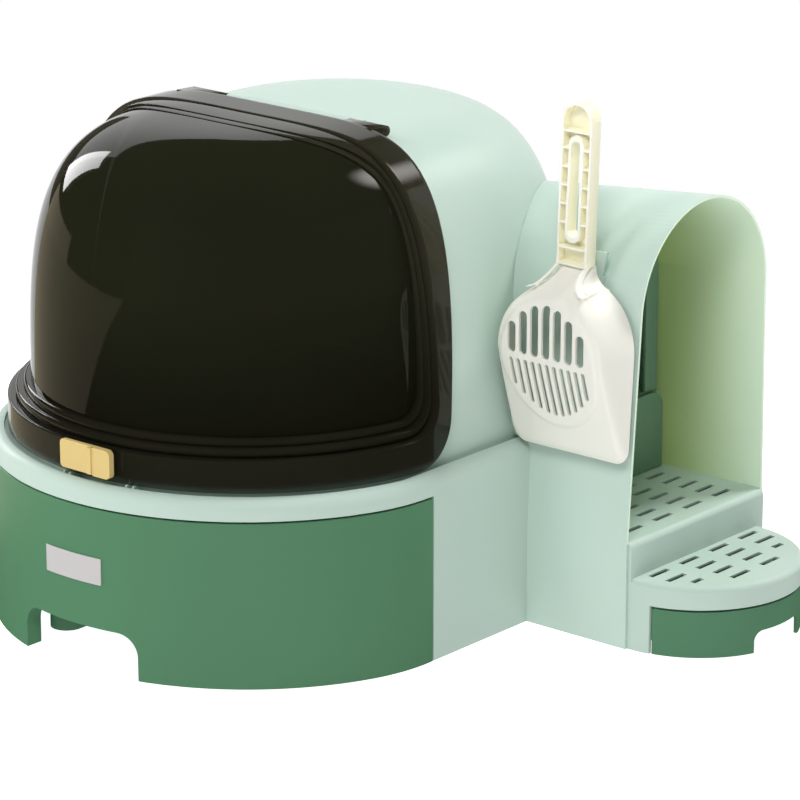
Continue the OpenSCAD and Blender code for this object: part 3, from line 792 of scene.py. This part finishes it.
def ray_ring(inside, size):
    """Where 400 rays from the blade's middle leave an outline."""
    ring = []
    for a in np.linspace(0, 2 * math.pi, 400, endpoint=False):
        low, high = 1.0, 110.0
        for _ in range(36):
            mid = (low + high) / 2
            inner = inside(mid * math.sin(a), BLADE_MID + mid * math.cos(a), size)
            low, high = (mid, high) if inner else (low, mid)
        ring.append((low * math.sin(a), BLADE_MID + low * math.cos(a)))
    return np.array(ring)


def ease(u):
    """0 to 1 with a soft start and end."""
    u = np.clip(u, 0, 1)
    return u * u * (3 - 2 * u)


def rim_plane(z):
    """Y of the blade's rim, which leans back from its foot to its neck."""
    return 36 + (z - BLADE_FOOT) * 10 / (BLADE_TOP - BLADE_FOOT)


def blade_face(ring, g):
    """Depth of the blade's face: a deep pan that runs out to a thin lip at its foot."""
    x, z = ring[:, 0], ring[:, 1]
    face = FACE_Y + LIP_RISE * np.clip((LIP_FROM - z) / (LIP_FROM - BLADE_FOOT), 0, 1) ** 1.12
    face += NECK_RISE * np.clip((z - NECK_FROM) / (BLADE_TOP - NECK_FROM), 0, 1) ** 1.6
    u = np.clip(g / WALL_W, 0, 1)
    rim = rim_plane(z)
    y = rim - (rim - face) * np.sqrt(1 - (1 - u) ** 2)
    return y - PANEL_RISE * ease((1.0 - panel_reach(x, z)) * 14) * ease(g / 5)


def blade_shell():
    rings = [(ray_ring(inside_blade, g), g) for g in WALL_W * np.linspace(0, 1, 15) ** 1.5]
    core = rings[-1][0]
    rings += [(ray_ring(inside_panel, grow), WALL_W) for grow in (0.2, -0.8, -1.8, -2.8, -4.0)]
    panel = rings[-1][0]
    mid = np.array([0.0, BLADE_MID])
    rings += [(mid + (panel - mid) * t, WALL_W) for t in np.linspace(1, 0.02, 18)[1:]]

    def held_in(ring):
        """The ring, drawn in to the core's edge where it passes it."""
        past = np.hypot(*(ring - mid).T) > np.hypot(*(core - mid).T)
        return np.where(past[:, None], core, ring)

    rings = [(held_in(r) if g == WALL_W else r, g) for r, g in rings]
    outer = [np.column_stack([r[:, 0], blade_face(r, g), r[:, 1]]) for r, g in rings]
    lip = ray_ring(inside_blade, SHEET)
    inner = [np.column_stack([lip[:, 0], rim_plane(lip[:, 1]), lip[:, 1]])]
    for r, g in rings:
        if g >= SHEET:
            y = np.minimum(blade_face(r, g) + SHEET, rim_plane(r[:, 1]))
            inner.append(np.column_stack([r[:, 0], y, r[:, 1]]))
    rows = inner[::-1] + outer
    points, faces = skin([(row + (SCOOP_X, 0, 0)) * MM for row in rows])
    return weld(piece("scoop_blade", points, faces + end_caps(rows)))


def neck_leg(side):
    """A rim of the handle's pocket that runs down the neck and flares on to the blade."""
    foot, rim = 279.5, GRIP_FRONT / MM
    rows = []
    for z in np.linspace(300, foot, 28):
        half = neck_half(z) + 0.05
        lift = 1.3 * float(ease((z - foot) / 8))
        beside = np.array([[half - SHEET, z]])
        face = blade_face(beside, WALL_W)[0] if z < NECK_TOP else 45.0
        front = min(rim, face - lift)
        section = (
            (half, front + 0.5), (half - 0.5, front), (half - 2.0, front),
            (half - 2.4, front + 0.5), (half - 2.4, front + 6), (half, front + 6),
        )
        rows.append([((SCOOP_X + side * x) * MM, y * MM, z * MM) for x, y in section])
    points, faces = skin(rows)
    return weld(piece("neck_leg", points, faces + end_caps(rows)))


def scoop_grip():
    bar = moulding("scoop_handle", "grip_bar", 0.0007, 3)
    grip = join("scoop_grip", [bar, neck_leg(-1), neck_leg(1)])
    for point in grip.data.vertices:
        point.co.y -= GRIP_LEAN * float(ease((LEAN_TOP - point.co.z) / (LEAN_TOP - LEAN_FOOT)))
    return smooth(grip, 35)


def slot_row_tree(material):
    """Geometry Nodes that cut a row of upright slots whose ends follow a curve."""
    tree = bpy.data.node_groups.new("slot_row", "GeometryNodeTree")
    face = tree.interface
    face.new_socket("Geometry", in_out="INPUT", socket_type="NodeSocketGeometry")
    for label, value in {
        "Count": 7, "Pitch": 0.01, "Width": 0.007, "Top": 0.27, "Top Fall": 0.0,
        "Foot": 0.23, "Foot Rise": 0.0, "Middle": 0.24,
    }.items():
        kind = "NodeSocketInt" if isinstance(value, int) else "NodeSocketFloat"
        face.new_socket(label, in_out="INPUT", socket_type=kind).default_value = value
    face.new_socket("Geometry", in_out="OUTPUT", socket_type="NodeSocketGeometry")

    g = Graph(tree)

    def place(x, y, z):
        return g.node("ShaderNodeCombineXYZ", {0: x, 1: y, 2: z})

    blade, count, pitch, width, top, top_fall, foot, foot_rise, middle = g.outputs(
        g.node("NodeGroupInput")
    )[:9]
    step = g.node("GeometryNodeInputIndex") - (count - 1.0) * 0.5
    square = step * step
    half = width * 0.5
    x = step * pitch + middle
    high = top - square * top_fall - half
    low = foot + square * foot_rise + half
    points = g.node("GeometryNodeMeshLine", {"Count": count})
    bar = g.node("GeometryNodeMeshCube", {"Size": place(width, 0.08, 1.0)})
    rod = g.node("GeometryNodeMeshCylinder", {"Vertices": 20, "Radius": half, "Depth": 0.08})
    lying = g.node("GeometryNodeTransform", {"Geometry": rod, "Rotation": (math.pi / 2, 0.0, 0.0)})
    cutters = []
    for z, tool, size in (
        ((high + low) * 0.5, bar, place(1.0, 1.0, high - low)),
        (high, lying, (1.0, 1.0, 1.0)),
        (low, lying, (1.0, 1.0, 1.0)),
    ):
        at = place(x, 0.02, z)
        spots = g.node("GeometryNodeSetPosition", {"Geometry": points, "Position": at})
        cutters.append(
            g.node(
                "GeometryNodeInstanceOnPoints", {"Points": spots, "Instance": tool, "Scale": size}
            )
        )
    joined = g.node("GeometryNodeJoinGeometry", {0: cutters})
    row = g.node("GeometryNodeRealizeInstances", {0: joined})
    cut = g.node(
        "GeometryNodeMeshBoolean",
        {"Mesh 1": blade, "Mesh 2": row, "Self Intersection": True},
        solver="EXACT",
        operation="DIFFERENCE",
    )
    real = g.node("GeometryNodeRealizeInstances", {0: cut})
    coated = g.node("GeometryNodeSetMaterial", {"Geometry": real, "Material": material})
    g.feed(tree.nodes.new("NodeGroupOutput").inputs[0], coated)
    return tree


def cut_row(obj, tree, **sizes):
    """Cuts one row of slots and leaves a plain mesh."""
    made = obj.modifiers.new(tree.name, "NODES")
    made.node_group = tree
    for item in tree.interface.items_tree:
        label = item.name.replace(" ", "_")
        if item.in_out == "INPUT" and label in sizes:
            made[item.identifier] = sizes[label]
    return bake(obj)


SLOT_X = (SCOOP_X - 1.5) * MM
WIDE_SLOTS = dict(
    Count=7, Pitch=0.0107, Width=0.0076, Top=0.2700, Top_Fall=0.0019, Foot=0.2286, Foot_Rise=0.0
)
NARROW_SLOTS = dict(
    Count=11, Pitch=0.0068, Width=0.0036, Top=0.2243, Top_Fall=0.0, Foot=0.1815, Foot_Rise=0.0008
)
blade = blade_shell()
slot_row = slot_row_tree(CREAM)
for sizes in (WIDE_SLOTS, NARROW_SLOTS):
    cut_row(blade, slot_row, Middle=SLOT_X, **sizes)
settle(smooth(weld(blade), 34), "scoop", CREAM, "scoop_head")
settle(scoop_grip(), "scoop", HANDLE, "scoop_handle")


# ---------------------------------------------------------------- studio


def backdrop_paper(name):
    """White paper. It takes the object's shadow close by and is seen as plain white further out."""
    f = Finish(name, Roughness=0.8, Specular_IOR_Level=0.1, Emission_Strength=1.0)
    x, y, _ = f.split(f.place)
    away = f.node("ShaderNodeMath", {0: x * x + y * y}, operation="SQRT")
    camera, seen = f.open_rays()
    white = f.between(f.noise(3.0), (0.93, 0.93, 0.93, 1), (0.95, 0.95, 0.95, 1))
    f.surface(Base_Color=f.between(camera, (0.32, 0.32, 0.32, 1), white))
    glow = f.node("ShaderNodeEmission", {"Color": (1, 1, 1, 1), "Strength": 1.0})
    lit = Wire(f, f.shader.outputs[0])
    mixed = f.node("ShaderNodeMixShader", {0: seen * away.step(0.30, 1.00), 1: lit, 2: glow})
    f.feed(f.tree.nodes["Material Output"].inputs[0], mixed)
    return f.material


def card_paper(name, level):
    """A studio card that shines evenly at one warm level, so that gloss shows it as it is."""
    f = Finish(name, Roughness=1.0, Specular_IOR_Level=0.0, Emission_Strength=1.0)
    grain = f.noise(2.0)
    warm = (level, level * 0.86, level * 0.62)
    lit = f.between(grain, shade(warm, 0.94), shade(warm, 1.06))
    return f.surface(Base_Color=f.between(grain, BLACK, BLACK), Emission_Color=lit)


def glow_paper(name, centre, reach, level):
    """A diffuser that fades from its bright centre to dark edges."""
    f = Finish(name, Roughness=1.0, Specular_IOR_Level=0.0, Emission_Strength=level)
    off = f.node("ShaderNodeVectorMath", {0: f.place, 1: centre}, out=1, operation="DISTANCE")
    lit = f.between(off.step(reach, reach * 0.25), BLACK, (1.0, 0.97, 0.92, 1))
    dark = f.between(f.noise(2.0), BLACK, BLACK)
    return f.surface(Base_Color=dark, Emission_Color=lit)


# Half width and height of the room that the cards stand in, and the cards' lift off the floor
ROOM, CEILING, LIFT = 4.0, 3.2, 0.0004
# Line on the floor between the dark cards in front and the bright one on the left
EDGE_FRONT, EDGE_REAR = (-1.9, -ROOM), (-0.3, -0.05)


def card(name, corners, level, paper=None):
    """Seen only in reflections: dark cards give the smoked visor its depth."""
    made = piece(name, corners, [(0, 1, 2, 3)])
    made.data.materials.append(paper or card_paper(name + "_paper", level))
    made.visible_camera = made.visible_diffuse = made.visible_shadow = False
    made.visible_transmission = made.visible_volume_scatter = False


def wall_card(name, x0, y0, x1, y1, z0, z1, level):
    card(name, [(x0, y0, z0), (x1, y1, z0), (x1, y1, z1), (x0, y0, z1)], level)


def floor_card(name, corners, level):
    card(name, [(x, y, LIFT) for x, y in corners], level)


def crown_glow():
    """A bright disc high behind the box that the visor's crown shows as a soft light."""
    centre = Vector((0.77, 1.65, 2.15))
    across, up = Vector((0.94, -0.34, 0.0)) * 0.62, Vector((-0.26, -0.72, 0.64)) * 0.62
    corners = [tuple(centre + across * a + up * b) for a, b in ((-1, -1), (1, -1), (1, 1), (-1, 1))]
    card("crown_glow", corners, 0, glow_paper("crown_glow_paper", tuple(centre), 0.60, 9.0))


def softbox(name, at, aim, size, power, mirrored=False):
    lamp = bpy.data.lights.new(name, "AREA")
    lamp.shape, lamp.size, lamp.size_y = "RECTANGLE", size[0], size[1]
    lamp.energy = power
    made = bpy.data.objects.new(name, lamp)
    made.location = at
    made.rotation_euler = (Vector(aim) - Vector(at)).to_track_quat("-Z", "Y").to_euler()
    made.visible_glossy = mirrored
    bpy.context.scene.collection.objects.link(made)


def studio_air():
    """Soft air light on the object, and plain white wherever the room is seen."""
    world = bpy.data.worlds.new("studio_air")
    bpy.context.scene.world = world
    world.use_nodes = True
    sky = Graph(world.node_tree)
    _, seen = sky.open_rays()
    soft = sky.node("ShaderNodeBackground", {0: (0.97, 0.985, 1.0, 1), 1: 0.12})
    white = sky.node("ShaderNodeBackground", {0: (1, 1, 1, 1), 1: 1.0})
    mixed = sky.node("ShaderNodeMixShader", {0: seen, 1: soft, 2: white})
    sky.feed(sky.tree.nodes["World Output"].inputs[0], mixed)


def studio():
    floor = piece(
        "studio_floor", [(-9, -9, 0), (9, -9, 0), (9, 9, 0), (-9, 9, 0)], [(0, 1, 2, 3)]
    )
    floor.data.materials.append(backdrop_paper("floor_paper"))
    r = ROOM
    card("ceiling_card", [(x, y, CEILING) for x, y in ((-r, -r), (r, -r), (r, r), (-r, r))], 0.02)
    wall_card("front_card", -1.9, -r, r, -r, 0.0, CEILING, 0.07)
    wall_card("front_left_card", -r, -1.55, -1.9, -r, 0.0, CEILING, 0.0)
    wall_card("right_card", r, -r, r, r, 0.0, CEILING, 0.07)
    wall_card("left_high_card", -r, -1.55, -r, 1.0, 0.55, CEILING, 0.01)
    wall_card("left_low_card", -r, -1.55, -r, 1.0, 0.0, 0.55, 0.70)
    wall_card("left_rear_card", -r, 1.0, -3.6, 3.0, 0.0, 1.0, 0.08)
    floor_card("floor_card", [EDGE_FRONT, (r, -r), (r, r), EDGE_REAR], 0.03)
    floor_card("left_floor_card", [(-r, -1.7), EDGE_FRONT, EDGE_REAR, (-r, 1.0)], 0.62)
    crown_glow()
    studio_air()
    softbox("key_softbox", (-0.9, -2.6, 2.3), (0, -0.1, 0.2), (0.9, 0.9), 24)
    softbox("high_softbox", (1.4, -1.9, 2.6), (0.1, 0, 0.2), (1.0, 1.0), 45)
    softbox("left_softbox", (-2.4, -1.6, 1.2), (0, 0, 0.2), (1.0, 1.0), 32)
    softbox("crown_softbox", (0.75, 1.5, 2.35), (0.13, -0.1, 0.36), (0.7, 0.7), 44)
    softbox("zenith_softbox", (0.1, 0.1, 3.0), (0.1, 0.1, 0.2), (1.6, 1.6), 10)
    softbox(
        "window_softbox", (-2.45, 0.42, 1.15), (-0.06, -0.17, 0.36), (0.66, 1.1), 16, mirrored=True
    )


def studio_camera():
    """A long lens to the right of the front, looking down by 17.5 degrees."""
    eye = bpy.data.cameras.new("studio_camera")
    eye.lens, eye.sensor_width = 199.95, 36.0
    eye.clip_start, eye.clip_end = 0.1, 50
    made = bpy.data.objects.new("studio_camera", eye)
    made.location = (2.1958, -2.4828, 1.1943)
    made.rotation_euler = (math.radians(90 - 17.5), 0, math.radians(40.1))
    bpy.context.scene.collection.objects.link(made)
    bpy.context.scene.camera = made


studio()
studio_camera()
bpy.context.scene.view_settings.view_transform = "Standard"
